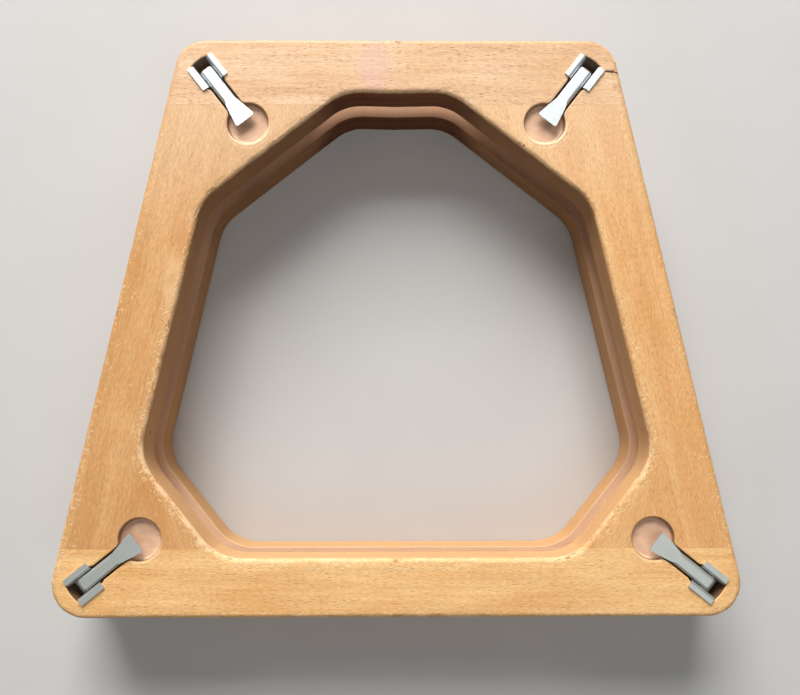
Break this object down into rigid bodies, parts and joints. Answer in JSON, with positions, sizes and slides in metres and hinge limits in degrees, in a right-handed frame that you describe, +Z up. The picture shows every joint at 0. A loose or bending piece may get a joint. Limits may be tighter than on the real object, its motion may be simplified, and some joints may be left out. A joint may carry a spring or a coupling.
{
  "type": "racket press",
  "caption": "Trapezoid wooden press for a tennis racket: two stacked frames with an eight-sided opening, clamped at the corners by cam levers.",
  "frame": {"origin": "under the middle of the press, on the surface it rests on", "axes": "+X across the press, +Y towards the narrow end, +Z up through the lever side"},
  "size_m": [0.3196, 0.276, 0.054],
  "materials": {
    "end_rail_wood": "satin varnish",
    "side_rail_wood": "satin varnish",
    "gusset_wood": "satin varnish",
    "zinc_steel": "dull zinc plate",
    "bright_steel": "plain steel",
    "spring_steel": "drawn spring wire"
  },
  "bodies": {
    "lower_frame": {"lower_narrow_rail": "end_rail_wood", "lower_wide_rail": "end_rail_wood", "lower_left_rail": "side_rail_wood", "lower_right_rail": "side_rail_wood", "lower_narrow_left_gusset": "gusset_wood", "lower_narrow_right_gusset": "gusset_wood", "lower_wide_left_gusset": "gusset_wood", "lower_wide_right_gusset": "gusset_wood", "tie_bolt_narrow_left": "bright_steel", "spring_narrow_left": "spring_steel", "washer_narrow_left": "bright_steel", "nut_narrow_left": "bright_steel", "tie_bolt_narrow_right": "bright_steel", "spring_narrow_right": "spring_steel", "washer_narrow_right": "bright_steel", "nut_narrow_right": "bright_steel", "tie_bolt_wide_left": "bright_steel", "spring_wide_left": "spring_steel", "washer_wide_left": "bright_steel", "nut_wide_left": "bright_steel", "tie_bolt_wide_right": "bright_steel", "spring_wide_right": "spring_steel", "washer_wide_right": "bright_steel", "nut_wide_right": "bright_steel"},
    "upper_frame": {"upper_narrow_rail": "end_rail_wood", "upper_wide_rail": "end_rail_wood", "upper_left_rail": "side_rail_wood", "upper_right_rail": "side_rail_wood", "upper_narrow_left_gusset": "gusset_wood", "upper_narrow_right_gusset": "gusset_wood", "upper_wide_left_gusset": "gusset_wood", "upper_wide_right_gusset": "gusset_wood", "saddle_narrow_left": "zinc_steel", "saddle_narrow_right": "zinc_steel", "saddle_wide_left": "zinc_steel", "saddle_wide_right": "zinc_steel"},
    "cam_lever_narrow_left": {"lever_narrow_left": "zinc_steel", "lever_pin_narrow_left": "bright_steel"},
    "cam_lever_narrow_right": {"lever_narrow_right": "zinc_steel", "lever_pin_narrow_right": "bright_steel"},
    "cam_lever_wide_left": {"lever_wide_left": "zinc_steel", "lever_pin_wide_left": "bright_steel"},
    "cam_lever_wide_right": {"lever_wide_right": "zinc_steel", "lever_pin_wide_right": "bright_steel"}
  },
  "joints": [
    {"name": "frame_lift", "type": "slide", "parent": "lower_frame", "child": "upper_frame", "axis": [0, 0, 1], "range_m": [0, 0.003], "deforming": ["spring_narrow_left", "spring_narrow_right", "spring_wide_left", "spring_wide_right"]},
    {"name": "lever_hinge_narrow_left", "type": "hinge", "parent": "lower_frame", "child": "cam_lever_narrow_left", "pos_m": [-0.09138, 0.1209, 0.0496], "axis": [-0.788, -0.6157, 0], "range_deg": [0, 90]},
    {"name": "lever_hinge_narrow_right", "type": "hinge", "parent": "lower_frame", "child": "cam_lever_narrow_right", "pos_m": [0.09138, 0.1209, 0.0496], "axis": [-0.788, 0.6157, 0], "range_deg": [0, 90]},
    {"name": "lever_hinge_wide_left", "type": "hinge", "parent": "lower_frame", "child": "cam_lever_wide_left", "pos_m": [-0.14377, -0.122, 0.0496], "axis": [0.6252, -0.7804, 0], "range_deg": [0, 90]},
    {"name": "lever_hinge_wide_right", "type": "hinge", "parent": "lower_frame", "child": "cam_lever_wide_right", "pos_m": [0.14377, -0.122, 0.0496], "axis": [0.6252, 0.7804, 0], "range_deg": [0, 90]}
  ],
  "couplings": [
    {"joint": "lever_hinge_narrow_left", "follows": "frame_lift", "rad_per_m": 523.5},
    {"joint": "lever_hinge_narrow_right", "follows": "frame_lift", "rad_per_m": 523.5},
    {"joint": "lever_hinge_wide_left", "follows": "frame_lift", "rad_per_m": 523.5},
    {"joint": "lever_hinge_wide_right", "follows": "frame_lift", "rad_per_m": 523.5}
  ]
}
